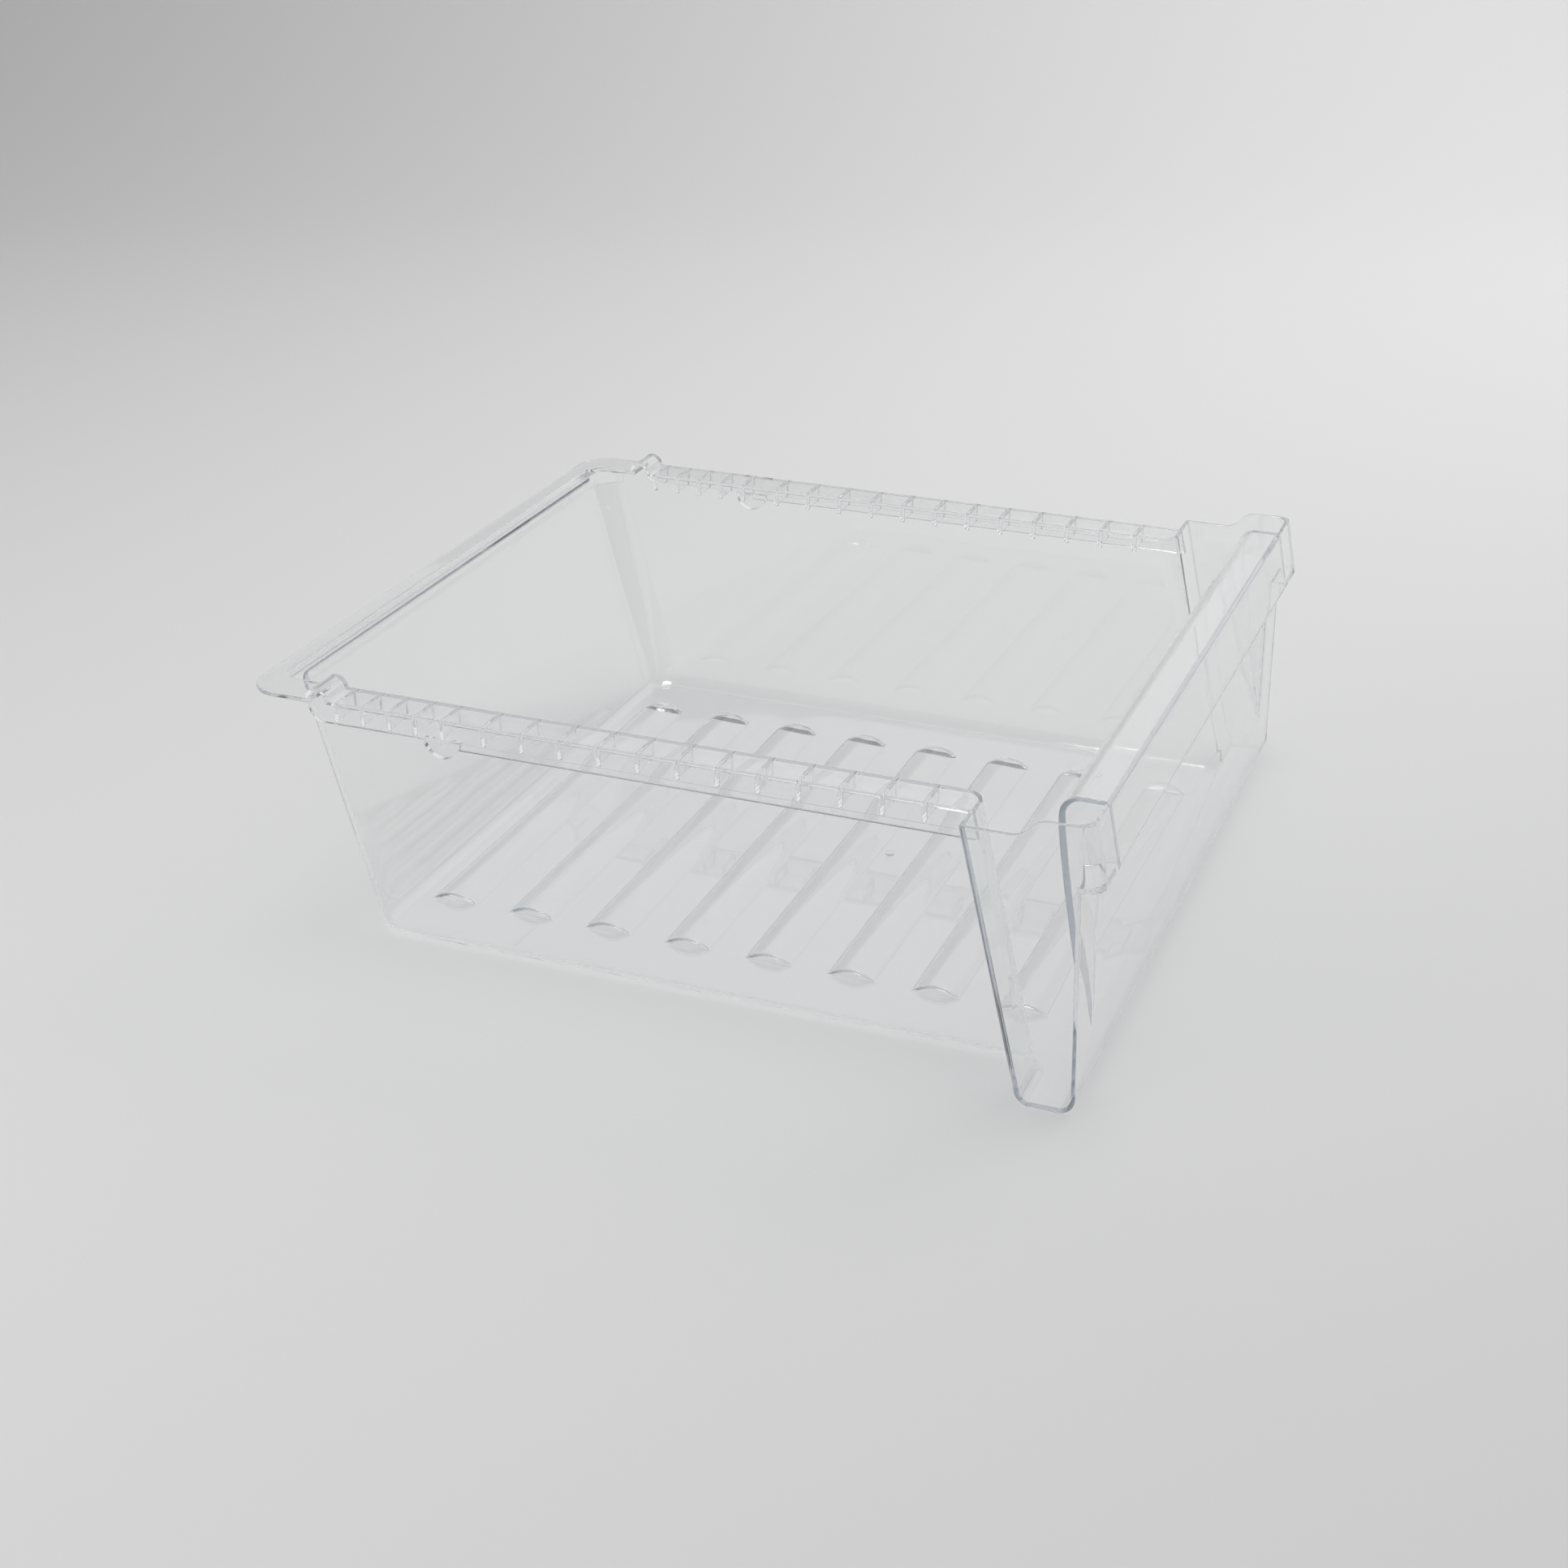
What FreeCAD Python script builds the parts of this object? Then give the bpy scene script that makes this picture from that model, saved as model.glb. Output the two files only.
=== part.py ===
"""Clear crisper drawer of a fridge, injection moulded in one piece.

Millimetres. X runs across the drawer, the front faces -Y, and Z = 0 is the underside.
While it is built, Y = 0 is the outer face of the front wall. At the end the moulding is
moved so that the origin is the bottom centre of its bounding box.
"""
import FreeCAD, Part
import math
import os
from FreeCAD import Vector

# Overall sizes
RIM_HEIGHT = 128.0           # top of the side rails and of the rear flange
TOP_RISE = 8.5               # handle and cheeks stand this far above the rim
REAR_REACH = 402.0           # outer edge of the rear flange, from the front wall at the rim
WALL = 1.9
HANDLE_WALL = 2.5            # walls of the finger recess and its lip

# Box walls, given at their inner faces at the rim, and how far each leans out on the way up
BOX_HALF = 167.0
SIDE_LEAN = 2.2              # shared by the box sides and the cheeks
CHEEK_REACH = 34.6           # outer faces of the front cheeks, out from the box sides
FLANGE = 15.0                # the back wall stands this far inside the flange's edge
BACK_LEAN = 34.5
RETURN = 50.6                # the front pocket ends at this depth
RETURN_LEAN = 29.4
FRONT_FOOT = 2.2             # the front wall's foot stands this far ahead of its rim
EDGE_ROUND = 7.5             # outer radius of the bottom edge
BACK_CORNER = 16.8
BACK_ROUND = 9.8             # the back wall's inner face turns out to the flange on this radius
MOUTH_CORNER = 11.0          # corners of the opening at that turn
RETURN_CORNER = 9.0          # inner face where the side wall turns out to the cheek

# Lip, finger recess and the wave along the cheek top
LIP_REACH_LOW = 9.5
LIP_REACH_TOP = 3.9
LIP_DROP = 20.0              # lower edge of the lip, below the rim
LEDGE_DROP = 21.7            # underside of the lip where it meets the front wall, below the rim
LIP_CORNER = 5.5             # outer radius of the lip's corners
LIP_HOLLOW_CORNER = 7.0      # and inside them
RECESS_INSET = 26.6          # outer faces of the recess end walls, in from the cheeks
RECESS_DEPTH = 98.0          # the leaning wall leaves the front wall this far below the rim
LEAN_MID = (10.7, 51.0)      # leaning wall, inner face: depth from the front, drop below the rim
LEAN_TOP = (17.8, 3.0)
HANDLE_ROUND = 9.0
WAVE_FRONT = 14.0
WAVE_REAR = 31.0

# Side rails, with heights as drops below the rim
RAIL_REACH = 19.0            # outer edge of the rails, out from the box sides
RAIL_CORNER = 17.0
SKIRT_WALL = 2.0
SKIRT_DROP = 10.5
SKIRT_END = 35.0             # the skirt stops this far inside the flange's edge
SKIRT_ROUND = 8.0
RUNNER_DROP = 13.2           # deeper runner ahead of the lower stop
RUNNER_HEIGHT = 3.6
RUNNER_PROUD = 0.6
RIB_DROP = 9.4
RIB_WALL = 1.7
FRONT_RIBS = 12
FRONT_RIB_GAP = 21.8         # from the front pocket to the first rib
STOP_GAP = 20.65             # from the last front rib to the lower stop
REAR_RIBS = 5                # the first of them is over the lower stop
REAR_RIB_PITCH = 13.5
REAR_RIB_GAP = 13.7          # from the last rib to the end of the skirt
LOWER_STOP_RADIUS = 9.0
LOWER_STOP_WALL = 4.5
UPPER_STOP_RADIUS = 5.7
UPPER_STOP_GAP = 4.4         # from the middle of the upper stop to the end of the skirt
UPPER_STOP_HOLLOW = 3.5

# Floor
FLOOR_RIBS = 8
FLOOR_RIB_FIRST = 42.0
FLOOR_RIB_GAP = 20.7         # from the middle of the last ridge to the foot of the back wall
FLOOR_RIB_INSET = 41.0       # from a ridge's end to the box side
FLOOR_RIB_WIDTH = 22.5
FLOOR_RIB_HEIGHT = 4.2
GATE_PITCHES = 2.6           # place of the gate mark, counted in ridges from the first
GATE_RADIUS = 2.2
GATE_HEIGHT = 1.0

CLEAR = 14.0                 # how far a cutting body overshoots what it cuts
TOUCH = 1e-3                 # points closer than this are one

# Places and heights that follow from the sizes above
CHEEK_HALF = BOX_HALF + CHEEK_REACH
RAIL_HALF = BOX_HALF + RAIL_REACH
RECESS_HALF = CHEEK_HALF - RECESS_INSET
BACK = REAR_REACH - FLANGE
SKIRT_REAR = REAR_REACH - SKIRT_END
UPPER_STOP_Y = SKIRT_REAR - UPPER_STOP_GAP
REAR_RIB_FIRST = SKIRT_REAR - REAR_RIB_GAP - (REAR_RIBS - 1) * REAR_RIB_PITCH
FRONT_RIB_FIRST = RETURN + FRONT_RIB_GAP
FRONT_RIB_PITCH = (REAR_RIB_FIRST - STOP_GAP - FRONT_RIB_FIRST) / (FRONT_RIBS - 1)
FLOOR_RIB_PITCH = (BACK - BACK_LEAN - FLOOR_RIB_GAP - FLOOR_RIB_FIRST) / (FLOOR_RIBS - 1)
FLOOR_RIB_HALF = BOX_HALF - FLOOR_RIB_INSET
GATE_Y = FLOOR_RIB_FIRST + GATE_PITCHES * FLOOR_RIB_PITCH
TOP_HEIGHT = RIM_HEIGHT + TOP_RISE
LIP_LOW = RIM_HEIGHT - LIP_DROP
LEDGE_LOW = RIM_HEIGHT - LEDGE_DROP
RECESS_APEX = RIM_HEIGHT - RECESS_DEPTH
LIP_SLOPE = (LIP_REACH_LOW - LIP_REACH_TOP) / (TOP_HEIGHT - LIP_LOW)


def leaning(at_rim, lean, z):
    """Place at height z of a wall that leans out evenly from the underside to the rim."""
    return at_rim - lean * (1 - z / RIM_HEIGHT)


def rounded_wire(corners, place):
    """Closed wire through (u, v, radius) corners. place() turns (u, v) into a point."""
    edges = []
    ends = []
    count = len(corners)
    for i in range(count):
        u, v, radius = corners[i]
        before = Vector(*corners[i - 1][:2], 0) - Vector(u, v, 0)
        after = Vector(*corners[(i + 1) % count][:2], 0) - Vector(u, v, 0)
        before.normalize()
        after.normalize()
        corner = Vector(u, v, 0)
        if radius == 0:
            ends.append((corner, corner))
            continue
        half = before.getAngle(after) / 2
        run = radius / math.tan(half)
        middle = before + after
        middle.normalize()
        apex = corner + middle * (radius / math.sin(half) - radius)
        start = corner + before * run
        stop = corner + after * run
        ends.append((start, stop))
        edges.append(Part.Arc(place(start), place(apex), place(stop)).toShape())
    for i in range(count):
        start = ends[i][1]
        stop = ends[(i + 1) % count][0]
        if (stop - start).Length > TOUCH:
            edges.append(Part.LineSegment(place(start), place(stop)).toShape())
    return Part.Wire(Part.__sortEdges__(edges))


def side_profile(corners, x_from, x_to):
    """Solid with a (y, z, radius) outline, extruded across the drawer."""
    wire = rounded_wire(corners, lambda p: Vector(x_from, p.x, p.y))
    return Part.Face(wire).extrude(Vector(x_to - x_from, 0, 0))


def block(x_from, x_to, y_from, y_to, z_from, z_to):
    return Part.makeBox(x_to - x_from, y_to - y_from, z_to - z_from, Vector(x_from, y_from, z_from))


def mirrored(shape):
    return shape.mirror(Vector(0, 0, 0), Vector(1, 0, 0))


def slant(lean):
    """How much longer a wall's thickness is when it is measured level."""
    return math.hypot(lean, RIM_HEIGHT) / RIM_HEIGHT


def plan(z, inset):
    """Corners of the T-shaped plan at height z, inset from the outer face."""
    skin = WALL - inset
    front = leaning(0, FRONT_FOOT, z) + inset * slant(FRONT_FOOT)
    cheek = leaning(CHEEK_HALF, SIDE_LEAN, z) - inset
    turn = leaning(RETURN, RETURN_LEAN, z) + skin * slant(RETURN_LEAN)
    side = leaning(BOX_HALF, SIDE_LEAN, z) + skin
    back = leaning(BACK, BACK_LEAN, z) + skin * slant(BACK_LEAN)
    right = [(cheek, front), (cheek, turn), (side, turn), (side, back)]
    left = [(-x, y) for x, y in reversed(right)]
    return right + left


def frustum(z_from, z_to, inset):
    """Solid between two heights of the plan, with rounded corners and bottom edge but crisp cheeks."""
    low = [Vector(x, y, z_from) for x, y in plan(z_from, inset)]
    high = [Vector(x, y, z_to) for x, y in plan(z_to, inset)]
    count = len(low)
    faces = [Part.Face(Part.makePolygon(ring + ring[:1])) for ring in (low[::-1], high)]
    for i in range(count):
        k = (i + 1) % count
        faces.append(Part.Face(Part.makePolygon([low[i], low[k], high[k], high[i], low[i]])))
    shell = Part.makeShell(faces)
    shell.sewShape()
    solid = Part.makeSolid(shell)
    for i, radius in ((2, RETURN_CORNER - WALL + inset), (3, BACK_CORNER - inset)):
        spots = [low[i], low[count - 1 - i]]
        edges = [e for e in solid.Edges if upright_at(e, spots)]
        solid = solid.makeFillet(radius, edges)
    cheek = low[0].x - TOUCH
    bottom = [e for e in solid.Edges if e.BoundBox.ZMax < z_from + TOUCH
              and e.BoundBox.XMin < cheek and e.BoundBox.XMax > -cheek]
    return solid.makeFillet(EDGE_ROUND - inset, bottom)


def upright_at(edge, spots):
    """True for a full-height edge whose lower end is one of the spots."""
    lower = min(edge.Vertexes, key=lambda v: v.Z)
    upper = max(edge.Vertexes, key=lambda v: v.Z)
    if upper.Z - lower.Z < RIM_HEIGHT / 2:
        return False
    return any((lower.Point - spot).Length < TOUCH for spot in spots)


def lip(inset, corner):
    """The hanging lip along the front, its ends flush with the cheeks and rounded."""
    top = TOP_HEIGHT + CLEAR
    floor = LIP_LOW + inset
    ledge = LEDGE_LOW + inset
    reach_low = LIP_REACH_LOW - inset - LIP_SLOPE * inset
    reach_top = LIP_REACH_LOW - inset - LIP_SLOPE * (top - LIP_LOW)
    rear = LIP_REACH_LOW
    outline = [(-reach_low, floor, 0), (0, ledge, 0), (rear, ledge, 0), (rear, top, 0), (-reach_top, top, 0)]
    wide = side_profile(outline, -CHEEK_HALF - CLEAR, CHEEK_HALF + CLEAR)
    low_half = leaning(CHEEK_HALF, SIDE_LEAN, ledge) - inset
    top_half = leaning(CHEEK_HALF, SIDE_LEAN, top) - inset
    ends = [(-low_half, ledge), (low_half, ledge), (top_half, top), (-top_half, top), (-low_half, ledge)]
    between_cheeks = Part.Face(Part.makePolygon([Vector(x, -CLEAR, z) for x, z in ends]))
    solid = wide.common(between_cheeks.extrude(Vector(0, CLEAR + rear, 0)))
    corners = [e for e in solid.Edges if e.BoundBox.YMax < WALL and e.BoundBox.ZLength > LIP_DROP]
    return solid.makeFillet(corner, corners)


def recess(skin, wall_at_foot, reach, half):
    """Body behind the lip: the finger recess, drawn in by skin from the inside of the drawer."""
    top = TOP_HEIGHT - skin
    foot = Vector(0, leaning(0, FRONT_FOOT, RECESS_APEX) + wall_at_foot, RECESS_APEX)
    middle = Vector(0, LEAN_MID[0] - skin, RIM_HEIGHT - LEAN_MID[1])
    knee = Vector(0, LEAN_TOP[0] - skin, RIM_HEIGHT - LEAN_TOP[1])
    arc = Part.Arc(foot, middle, knee).toShape()
    round_radius = HANDLE_ROUND - skin
    over = Vector(0, knee.y - round_radius, top)
    diagonal = round_radius * math.cos(math.pi / 4)
    crown = Vector(0, knee.y - round_radius + diagonal, top - round_radius + diagonal)
    rise = Part.LineSegment(knee, Vector(0, knee.y, top - round_radius)).toShape()
    turn = Part.Arc(rise.Vertexes[1].Point, crown, over).toShape()
    front = [over] + reach + [foot]
    rest = [Part.LineSegment(a, b).toShape() for a, b in zip(front, front[1:])]
    wire = Part.Wire(Part.__sortEdges__([arc, rise, turn] + rest))
    face = Part.Face(wire)
    face.translate(Vector(-half, 0, 0))
    return face.extrude(Vector(2 * half, 0, 0))


def recess_body():
    """What the inside of the drawer leaves free for the recess and its walls."""
    reach = [Vector(0, -2 * LIP_REACH_LOW, TOP_HEIGHT), Vector(0, -2 * LIP_REACH_LOW, RECESS_APEX)]
    return recess(0, WALL, reach, RECESS_HALF)


def recess_air():
    """The hollow that the fingers enter, open below the lip."""
    ceiling = TOP_HEIGHT - HANDLE_WALL
    inner_low = -LIP_REACH_LOW + HANDLE_WALL
    inner_top = inner_low + LIP_SLOPE * (ceiling - LIP_LOW)
    reach = [Vector(0, inner_top, ceiling), Vector(0, inner_low, LIP_LOW), Vector(0, inner_low, LIP_LOW - CLEAR),
             Vector(0, -2 * LIP_REACH_LOW, LIP_LOW - CLEAR), Vector(0, -2 * LIP_REACH_LOW, RECESS_APEX)]
    return recess(HANDLE_WALL, 0, reach, RECESS_HALF - HANDLE_WALL)


def top_trim():
    """Everything below the top outline: cheek tops, the wave, then the level rim."""
    run = (WAVE_REAR - WAVE_FRONT) / 2
    drop = TOP_RISE / 2
    radius = (run * run + drop * drop) / (2 * drop)
    angle = math.asin(run / radius) / 2
    start = Vector(0, WAVE_FRONT, TOP_HEIGHT)
    middle = Vector(0, WAVE_FRONT + run, TOP_HEIGHT - drop)
    stop = Vector(0, WAVE_REAR, RIM_HEIGHT)
    over = start + Vector(0, radius * math.sin(angle), radius * (math.cos(angle) - 1))
    under = stop + Vector(0, -radius * math.sin(angle), radius * (1 - math.cos(angle)))
    wave = [Part.Arc(start, over, middle).toShape(), Part.Arc(middle, under, stop).toShape()]
    far = REAR_REACH + CLEAR
    near = -LIP_REACH_LOW - CLEAR
    around = [stop, Vector(0, far, RIM_HEIGHT), Vector(0, far, -CLEAR), Vector(0, near, -CLEAR),
              Vector(0, near, TOP_HEIGHT), start]
    lines = [Part.LineSegment(a, b).toShape() for a, b in zip(around, around[1:])]
    face = Part.Face(Part.Wire(Part.__sortEdges__(wave + lines)))
    reach = CHEEK_HALF + CLEAR
    face.translate(Vector(-reach, 0, 0))
    return face.extrude(Vector(2 * reach, 0, 0))


def rim():
    """Top plate of the rails, carried round the back as a flange. Its inside is cut later."""
    low = RIM_HEIGHT - WALL
    corners = [(-RAIL_HALF, RETURN, 0), (RAIL_HALF, RETURN, 0),
               (RAIL_HALF, REAR_REACH, RAIL_CORNER), (-RAIL_HALF, REAR_REACH, RAIL_CORNER)]
    wire = rounded_wire(corners, lambda p: Vector(p.x, p.y, low))
    return Part.Face(wire).extrude(Vector(0, 0, WALL + CLEAR))


def back_turn(inset, front, over):
    """Body above the rounded turn from the back wall to the flange, between the box sides."""
    skin = WALL - inset
    angle = math.atan2(RIM_HEIGHT, BACK_LEAN)
    centre = Vector(0, BACK + BACK_ROUND * math.tan(angle / 2), RIM_HEIGHT - BACK_ROUND)
    spokes = [Vector(0, -math.sin(a), math.cos(a)) for a in (angle, angle / 2, 0)]
    low, middle, top = [centre + spoke * (BACK_ROUND - skin) for spoke in spokes]
    corners = [top, Vector(0, top.y, over), Vector(0, front, over), Vector(0, front, low.z), low]
    edges = [Part.LineSegment(a, b).toShape() for a, b in zip(corners, corners[1:])]
    face = Part.Face(Part.Wire(edges + [Part.Arc(low, middle, top).toShape()]))
    face.translate(Vector(-RAIL_HALF, 0, 0))
    rings = []
    for z in (low.z, over):
        half = leaning(BOX_HALF, SIDE_LEAN, z) + skin
        outline = [(-half, RETURN, 0), (half, RETURN, 0),
                   (half, top.y, MOUTH_CORNER + skin), (-half, top.y, MOUTH_CORNER + skin)]
        rings.append(rounded_wire(outline, lambda p: Vector(p.x, p.y, z)))
    return face.extrude(Vector(2 * RAIL_HALF, 0, 0)).common(Part.makeLoft(rings, True, True))


def half_round(radius, y, z, side, x_from, x_to):
    """Half cylinder across the rail. side is 1 for a round top and -1 for a round bottom."""
    left = Vector(x_from, y - radius, z)
    right = Vector(x_from, y + radius, z)
    arc = Part.Arc(left, Vector(x_from, y, z + side * radius), right).toShape()
    wire = Part.Wire([arc, Part.LineSegment(right, left).toShape()])
    return Part.Face(wire).extrude(Vector(x_to - x_from, 0, 0))


def rail():
    """Skirt, runner, ribs and lower stop of the rail at +X."""
    skirt_inner = RAIL_HALF - SKIRT_WALL
    plate_mid = RIM_HEIGHT - WALL / 2
    front = RETURN - WALL / 2
    skirt_low = RIM_HEIGHT - SKIRT_DROP
    runner_low = RIM_HEIGHT - RUNNER_DROP
    runner_top = runner_low + RUNNER_HEIGHT
    skirt = side_profile([(front, skirt_low, 0), (SKIRT_REAR, skirt_low, SKIRT_ROUND),
                          (SKIRT_REAR, plate_mid, 0), (front, plate_mid, 0)], skirt_inner, RAIL_HALF)
    runner = block(skirt_inner, RAIL_HALF + RUNNER_PROUD, front - WALL, REAR_RIB_FIRST, runner_low, runner_top)
    solids = [skirt, runner]
    spots = [FRONT_RIB_FIRST + i * FRONT_RIB_PITCH for i in range(FRONT_RIBS)]
    spots += [REAR_RIB_FIRST + i * REAR_RIB_PITCH for i in range(REAR_RIBS)]
    wall_mid = BOX_HALF + WALL / 2
    skirt_mid = RAIL_HALF - SKIRT_WALL / 2
    rib_low = RIM_HEIGHT - RIB_DROP
    for y in spots:
        solids.append(block(wall_mid, skirt_mid, y - RIB_WALL / 2, y + RIB_WALL / 2, rib_low, plate_mid))
    stop_inner = RAIL_HALF - LOWER_STOP_WALL
    solids.append(half_round(LOWER_STOP_RADIUS, REAR_RIB_FIRST, runner_top, -1, stop_inner, RAIL_HALF))
    return solids


def upper_stop():
    """The low hump on top of the rail that meets the fridge's rail when the drawer is shut."""
    return half_round(UPPER_STOP_RADIUS, UPPER_STOP_Y, RIM_HEIGHT, 1, BOX_HALF, RAIL_HALF)


def upper_stop_hollow():
    """The hump is a shell, open below like the rail."""
    x_from = BOX_HALF + WALL
    x_to = RAIL_HALF - SKIRT_WALL
    dome = half_round(UPPER_STOP_HOLLOW, UPPER_STOP_Y, RIM_HEIGHT, 1, x_from, x_to)
    slot = block(x_from, x_to, UPPER_STOP_Y - UPPER_STOP_HOLLOW, UPPER_STOP_Y + UPPER_STOP_HOLLOW,
                 RIM_HEIGHT - WALL - CLEAR, RIM_HEIGHT)
    return dome.fuse(slot)


def floor_ridge(y, base, half):
    """Part-round ridge across the floor, standing on the height base."""
    rise = FLOOR_RIB_HEIGHT
    reach = FLOOR_RIB_WIDTH / 2
    left = Vector(-half, y - reach, base)
    right = Vector(-half, y + reach, base)
    arc = Part.Arc(left, Vector(-half, y, base + rise), right).toShape()
    sunk = WALL / 2
    down = [right, right - Vector(0, 0, sunk), left - Vector(0, 0, sunk), left]
    lines = [Part.LineSegment(a, b).toShape() for a, b in zip(down, down[1:])]
    return Part.Face(Part.Wire([arc] + lines)).extrude(Vector(2 * half, 0, 0))


outside = frustum(0, TOP_HEIGHT + CLEAR, 0).fuse(lip(0, LIP_CORNER))
inside = frustum(WALL, TOP_HEIGHT + CLEAR, WALL).fuse(lip(WALL, LIP_HOLLOW_CORNER))

ridge_spots = [FLOOR_RIB_FIRST + i * FLOOR_RIB_PITCH for i in range(FLOOR_RIBS)]
ridges = [floor_ridge(y, WALL, FLOOR_RIB_HALF) for y in ridge_spots]
grooves = [floor_ridge(y, 0, FLOOR_RIB_HALF - WALL) for y in ridge_spots]
gate = Part.makeCylinder(GATE_RADIUS, WALL / 2 + GATE_HEIGHT, Vector(0, GATE_Y, WALL / 2))
mouth = back_turn(WALL, BACK - CLEAR, RIM_HEIGHT + CLEAR)
cavity = inside.fuse(mouth).cut(ridges + [gate, recess_body()])

rails = rail()
rails += [mirrored(s) for s in rails]
turn_below = back_turn(0, BACK, RIM_HEIGHT - WALL / 2)
moulding = outside.fuse([rim(), turn_below] + rails).common(top_trim())
moulding = moulding.fuse([upper_stop(), mirrored(upper_stop())])
hollow = upper_stop_hollow()
moulding = moulding.cut([cavity, recess_air(), hollow, mirrored(hollow)] + grooves)
moulding = moulding.removeSplitter()
moulding.translate(Vector(0, (LIP_REACH_LOW - REAR_REACH) / 2, 0))

os.makedirs("parts", exist_ok=True)
moulding.exportStep("parts/crisper_drawer.step")
box = moulding.BoundBox
print("solids", len(moulding.Solids), "valid", moulding.isValid(), "volume cm3", round(moulding.Volume / 1000, 1))
print("size", round(box.XLength, 2), round(box.YLength, 2), round(box.ZLength, 2))
print("from", round(box.XMin, 2), round(box.YMin, 2), round(box.ZMin, 2))
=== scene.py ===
import math
import bmesh
import bpy
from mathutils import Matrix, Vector
from mathutils.bvhtree import BVHTree
from mathutils.geometry import intersect_point_line


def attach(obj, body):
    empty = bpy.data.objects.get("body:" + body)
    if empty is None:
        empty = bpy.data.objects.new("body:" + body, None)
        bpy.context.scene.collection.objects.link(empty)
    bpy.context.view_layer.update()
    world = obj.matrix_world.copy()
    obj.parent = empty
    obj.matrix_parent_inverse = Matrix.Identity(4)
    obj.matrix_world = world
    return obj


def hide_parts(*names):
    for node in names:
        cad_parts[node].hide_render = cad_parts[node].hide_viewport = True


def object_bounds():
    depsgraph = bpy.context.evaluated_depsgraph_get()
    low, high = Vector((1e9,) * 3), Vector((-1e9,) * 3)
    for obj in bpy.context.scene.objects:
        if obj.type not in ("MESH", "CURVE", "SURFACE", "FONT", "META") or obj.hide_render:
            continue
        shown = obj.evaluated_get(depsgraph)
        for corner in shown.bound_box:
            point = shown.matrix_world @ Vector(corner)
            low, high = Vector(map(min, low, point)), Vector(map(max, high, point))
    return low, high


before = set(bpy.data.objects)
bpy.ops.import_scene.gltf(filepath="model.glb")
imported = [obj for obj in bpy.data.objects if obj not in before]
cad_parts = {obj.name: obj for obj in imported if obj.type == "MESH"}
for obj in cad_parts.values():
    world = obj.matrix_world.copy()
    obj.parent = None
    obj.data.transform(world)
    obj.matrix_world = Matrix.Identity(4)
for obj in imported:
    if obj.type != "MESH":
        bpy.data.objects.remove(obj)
cad_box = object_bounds()
scene = bpy.context.scene


# The drawer is one injection moulding in water-clear polystyrene: box, cheeks, handle, ribbed rails,
# stops and ridged floor leave the mould together. The steel polishes its faces, and every edge comes
# out with the hairline radius that the cutter left in the mould, which is what catches the light.
class Socket:
    """One output of a shader node. A sum on it adds a Math node to its tree."""

    def __init__(self, tree, output):
        self.tree = tree
        self.output = output

    @classmethod
    def node(cls, tree, kind, settings=None, sockets=None, output=0):
        made = tree.nodes.new(kind)
        for name, value in (settings or {}).items():
            setattr(made, name, value)
        for name, value in (sockets or {}).items():
            if isinstance(value, cls):
                tree.links.new(value.output, made.inputs[name])
            else:
                made.inputs[name].default_value = value
        return cls(tree, made.outputs[output] if made.outputs else None)

    def beside(self, output):
        """Another output of the same node."""
        return Socket(self.tree, self.output.node.outputs[output])

    def maths(self, operation, first, second):
        return self.node(self.tree, "ShaderNodeMath", {"operation": operation}, {0: first, 1: second})

    def __add__(self, other):
        return self.maths("ADD", self, other)

    __radd__ = __add__

    def __sub__(self, other):
        return self.maths("SUBTRACT", self, other)

    def __rsub__(self, other):
        return self.maths("SUBTRACT", other, self)

    def __mul__(self, other):
        return self.maths("MULTIPLY", self, other)

    __rmul__ = __mul__


def clear_plastic():
    """Polished plastic. Light from a lamp or off the paper, and light caught inside, passes straight on."""
    polish = 0.004
    rubbed_polish = 0.022
    shade_edge_on = 0.12
    caught_after = 24
    material = bpy.data.materials.new("clear_plastic")
    material.use_nodes = True
    tree = material.node_tree
    tree.nodes.clear()
    place = Socket.node(tree, "ShaderNodeTexCoord", output="Object")
    flow = Socket.node(tree, "ShaderNodeTexNoise", None, {"Vector": place, "Scale": 16.0, "Detail": 1.0})
    rubbed = Socket.node(tree, "ShaderNodeTexNoise", None, {"Vector": place, "Scale": 70.0, "Detail": 3.0})
    waves = Socket.node(tree, "ShaderNodeBump", None, {"Height": flow, "Strength": 0.05, "Distance": 0.002})
    body = Socket.node(tree, "ShaderNodeBsdfPrincipled", None, {
        "Base Color": (0.985, 0.99, 0.992, 1), "Roughness": polish + rubbed_polish * rubbed, "IOR": 1.57,
        "Transmission Weight": 1.0, "Normal": waves})
    to_lamp = Socket.node(tree, "ShaderNodeLightPath", output="Is Shadow Ray")
    straight = to_lamp.maths("MAXIMUM", to_lamp, to_lamp.beside("Is Diffuse Ray"))
    caught = to_lamp.maths("GREATER_THAN", to_lamp.beside("Ray Depth"), caught_after)
    edge_on = Socket.node(tree, "ShaderNodeLayerWeight", None, {"Blend": 0.35}, output="Facing")
    passes = to_lamp.maths("MAXIMUM", straight * (1 - shade_edge_on * edge_on), caught)
    through = Socket.node(tree, "ShaderNodeBsdfTransparent", None, {"Color": (0.985, 0.987, 0.99, 1)})
    clear = Socket.node(tree, "ShaderNodeMixShader", None, {0: passes, 1: body, 2: through})
    tint = Socket.node(tree, "ShaderNodeVolumeAbsorption", None, {
        "Color": (0.69, 0.72, 0.76, 1), "Density": 8.0})
    Socket.node(tree, "ShaderNodeOutputMaterial", None, {"Surface": clear, "Volume": tint})
    return material


def narrowness(face):
    return face.calc_area() / max(edge.calc_length() for edge in face.edges)


def stays_clear(edge, spots, reach):
    low, high = (point.co for point in edge.verts)
    for spot in spots:
        along = intersect_point_line(spot, low, high)[1]
        if (low.lerp(high, min(max(along, 0), 1)) - spot).length < reach:
            return False
    return True


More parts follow.
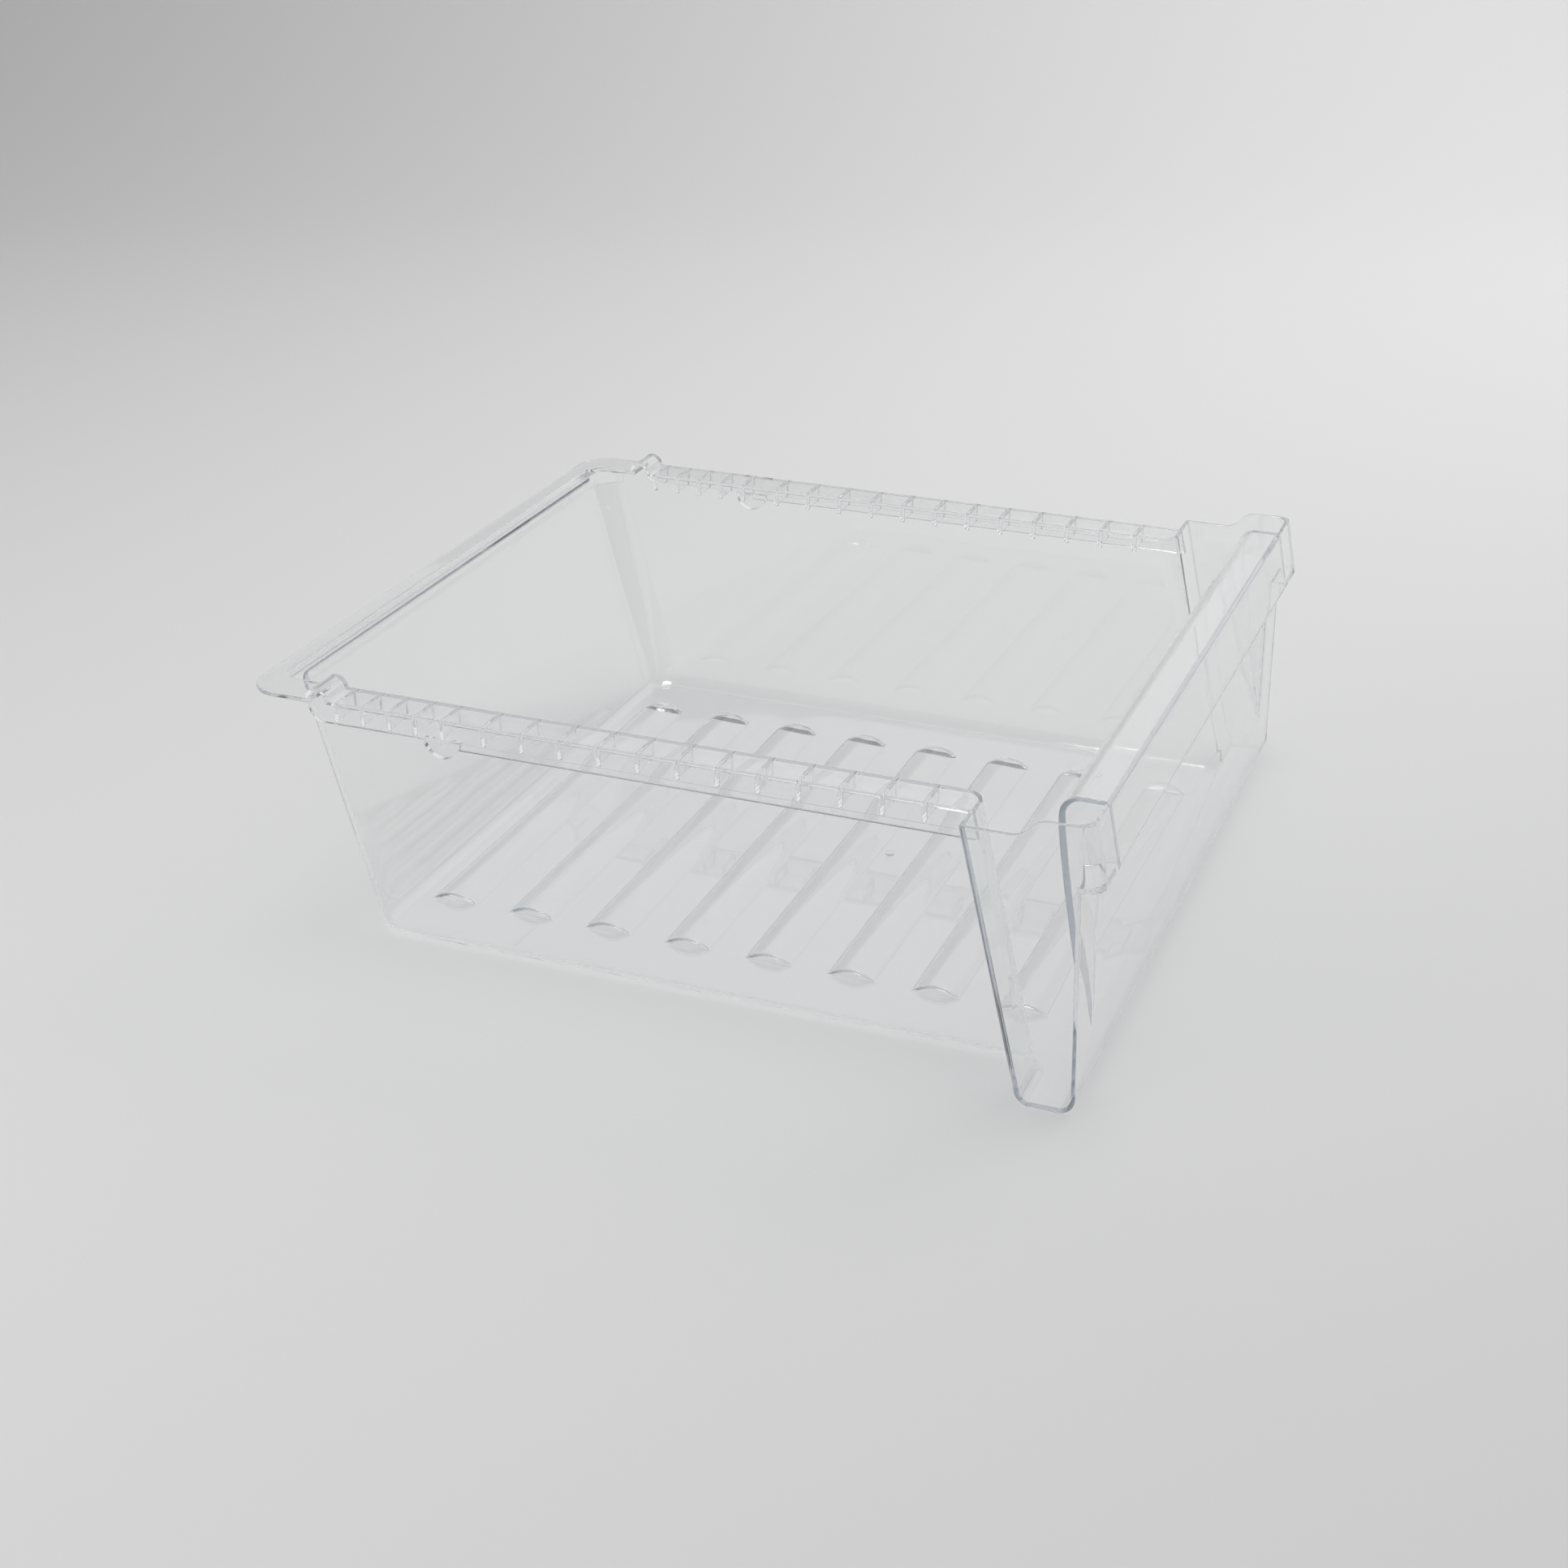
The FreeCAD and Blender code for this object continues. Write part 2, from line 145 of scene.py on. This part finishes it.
def faults(made, cad_skin, edge_round):
    """Corners of the faces that cross another face, turn over or leave the drawer's skin."""
    cut = made.copy()
    source = cut.faces.layers.int.new("source")
    facing = []
    for face in cut.faces:
        face[source] = len(facing)
        facing.append(face.normal.copy())
    bmesh.ops.triangulate(cut, faces=cut.faces)
    cut.normal_update()
    cut.faces.ensure_lookup_table()
    wrong = [face for face in cut.faces if face.normal.dot(facing[face[source]]) < 0
             or cad_skin.find_nearest(face.calc_center_median())[3] > edge_round]
    tree = BVHTree.FromBMesh(cut, epsilon=0.0)
    for first, second in tree.overlap(tree):
        pair = [cut.faces[first], cut.faces[second]]
        if first < second and not set(pair[0].verts) & set(pair[1].verts):
            wrong.append(min(pair, key=lambda face: face.calc_area()))
    spots = {tuple(round(c, 4) for c in point.co) for face in wrong for point in face.verts}
    cut.free()
    return [Vector(spot) for spot in sorted(spots)]


def rounded_moulding(edge_round, sharp_from, tight, ends):
    """The drawer's own shape with its edges rounded, and the faults that this leaves.

    Edges near the tight spots stay sharp, and so do short edges near the ends."""
    same_point = 2e-6
    same_plane = math.radians(0.4)
    steps = 3
    narrow = 2 * edge_round
    near = 3 * edge_round
    short = 20 * edge_round
    made = bmesh.new()
    made.from_mesh(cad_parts["crisper_drawer"].data)
    bmesh.ops.remove_doubles(made, verts=made.verts, dist=same_point)
    cad_skin = BVHTree.FromBMesh(made)
    bmesh.ops.dissolve_limit(made, angle_limit=same_plane, verts=made.verts, edges=made.edges)
    edges = [edge for edge in made.edges if edge.calc_face_angle(0) > sharp_from
             and min(narrowness(face) for face in edge.link_faces) > narrow
             and stays_clear(edge, tight, near)
             and (edge.calc_length() > short or stays_clear(edge, ends, near))]
    bmesh.ops.bevel(made, geom=edges, offset=edge_round, segments=steps, profile=0.5, affect="EDGES")
    made.normal_update()
    return made, faults(made, cad_skin, edge_round)


def moulding(edge_round, sharp_from, crease_from):
    tight = []
    ends = []
    for spots in (ends, ends, tight):
        made, found = rounded_moulding(edge_round, sharp_from, tight, ends)
        made.free()
        spots += found
    made, _ = rounded_moulding(edge_round, sharp_from, tight, ends)
    low, high = cad_box
    for point in made.verts:
        point.co = [min(max(c, a), b) for c, a, b in zip(point.co, low, high)]
    for face in made.faces:
        face.smooth = True
    for edge in made.edges:
        edge.smooth = edge.calc_face_angle(0) < crease_from
    mesh = bpy.data.meshes.new("clear_moulding")
    made.to_mesh(mesh)
    made.free()
    mesh.materials.append(clear_plastic())
    piece = bpy.data.objects.new("clear_moulding", mesh)
    scene.collection.objects.link(piece)
    weights = piece.modifiers.new("flat_faces", "WEIGHTED_NORMAL")
    weights.keep_sharp = True
    weights.weight = 100
    return piece


drawer = moulding(edge_round=0.0006, sharp_from=math.radians(32), crease_from=math.radians(55))
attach(drawer, "root")
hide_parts("crisper_drawer")


# The camera stands a little over a metre from the drawer, beyond its left side, and looks down at it
# with a normal lens, so that the handle is at the right of the picture.
lens = bpy.data.cameras.new("camera")
lens.sensor_width = 36.0
lens.lens = 56.7707
camera = bpy.data.objects.new("camera", lens)
heading = math.radians(21.4958)
look_down = math.radians(25.3482)
away = Vector((math.cos(heading), math.sin(heading), 0))
aside = Vector((math.sin(heading), -math.cos(heading), 0))
camera.location = (-1.06591, -0.40811, 0.57365)
forward = away * math.cos(look_down) - Vector((0, 0, math.sin(look_down)))
camera.rotation_euler = forward.to_track_quat("-Z", "Y").to_euler()
scene.collection.objects.link(camera)
scene.camera = camera
scene.view_settings.view_transform = "Standard"


# The studio paper hangs behind the drawer and sweeps forward under it in one pale sheet. It lies a
# hair below the drawer, so the underside and the paper are never one surface.
def paper_sweep(flat, cove, height, half_width, hair):
    front = -3.0
    steps = 24
    profile = [(front, 0.0), (flat, 0.0)]
    for i in range(1, steps + 1):
        turn = math.radians(90 * i / steps)
        profile.append((flat + cove * math.sin(turn), cove - cove * math.cos(turn)))
    profile.append((flat + cove, height))
    made = bmesh.new()
    rows = []
    for along, up in profile:
        middle = away * along + Vector((0, 0, up - hair))
        rows.append([made.verts.new(middle + aside * side) for side in (-half_width, half_width)])
    for low, high in zip(rows, rows[1:]):
        made.faces.new((low[0], low[1], high[1], high[0])).smooth = True
    mesh = bpy.data.meshes.new("paper_sweep")
    made.to_mesh(mesh)
    made.free()
    paper = bpy.data.materials.new("pale_paper")
    paper.use_nodes = True
    tree = paper.node_tree
    tree.nodes.clear()
    shade = Socket.node(tree, "ShaderNodeBsdfPrincipled", None, {
        "Base Color": (0.8, 0.803, 0.8, 1), "Roughness": 0.9, "Specular IOR Level": 0.1})
    Socket.node(tree, "ShaderNodeOutputMaterial", None, {"Surface": shade})
    mesh.materials.append(paper)
    sweep = bpy.data.objects.new("paper_sweep", mesh)
    scene.collection.objects.link(sweep)
    return sweep


paper_sweep(1.4, 0.9, 0.95, 4.0, 0.0004)


# The light: a dim white room with one broad bright side beyond the drawer, and soft boxes. Three boxes
# only grade the paper. The box overhead is the one that the moulded edges catch.
def room_light(seen, base, lobes):
    world = bpy.data.worlds.new("white_room")
    world.use_nodes = True
    tree = world.node_tree
    tree.nodes.clear()
    way = Socket.node(tree, "ShaderNodeTexCoord", output="Generated")
    level = base
    for axis, spread, gain in lobes:
        facing = Socket.node(tree, "ShaderNodeVectorMath", {"operation": "DOT_PRODUCT"},
                             {0: way, 1: Vector(axis).normalized()}, output="Value")
        patch = Socket.node(tree, "ShaderNodeMapRange", {"interpolation_type": "SMOOTHERSTEP"},
                            {"Value": facing, "From Min": math.cos(math.radians(spread)), "From Max": 1.0,
                             "To Min": 0.0, "To Max": gain})
        level = patch + level
    camera_sees = Socket.node(tree, "ShaderNodeLightPath", output="Is Camera Ray")
    level = camera_sees * seen + (1 - camera_sees) * level
    glow = Socket.node(tree, "ShaderNodeBackground", None, {"Color": (1, 1, 1, 1), "Strength": level})
    Socket.node(tree, "ShaderNodeOutputWorld", None, {"Surface": glow})
    return world


bright_side = ((0.84, -0.1, 0.5), 56, 0.72)
scene.world = room_light(seen=0.6, base=0.176, lobes=[bright_side])


def soft_box(name, place, target, side, power, seen):
    lamp = bpy.data.lights.new(name, "AREA")
    lamp.shape = "RECTANGLE"
    lamp.size = side
    lamp.size_y = side
    lamp.energy = power
    box = bpy.data.objects.new(name, lamp)
    box.location = place
    box.rotation_euler = (target - place).to_track_quat("-Z", "Y").to_euler()
    box.visible_glossy = seen
    box.visible_transmission = seen
    scene.collection.objects.link(box)


def spot(along, beside, height):
    return away * along + aside * beside + Vector((0, 0, height))


on_drawer = Vector((0, 0, 0.05))
soft_box("over_box", spot(0.1, 0.1, 1.9), on_drawer, side=0.65, power=11.5, seen=True)
soft_box("right_box", spot(1.2, 1.6, 1.7), on_drawer, side=0.9, power=9, seen=False)
soft_box("paper_box", spot(1.2, 1.0, 1.9), spot(2.3, 0.9, 0.6), side=0.9, power=16, seen=False)
soft_box("near_box", spot(-0.9, -1.3, 0.8), spot(-0.4, -0.6, 0.0), side=0.6, power=6.5, seen=False)

# Light goes on through the plastic from wall to wall until it comes out.
wall_turns = 32
scene.cycles.max_bounces = wall_turns
scene.cycles.transmission_bounces = wall_turns
scene.cycles.glossy_bounces = wall_turns
scene.cycles.transparent_max_bounces = 24
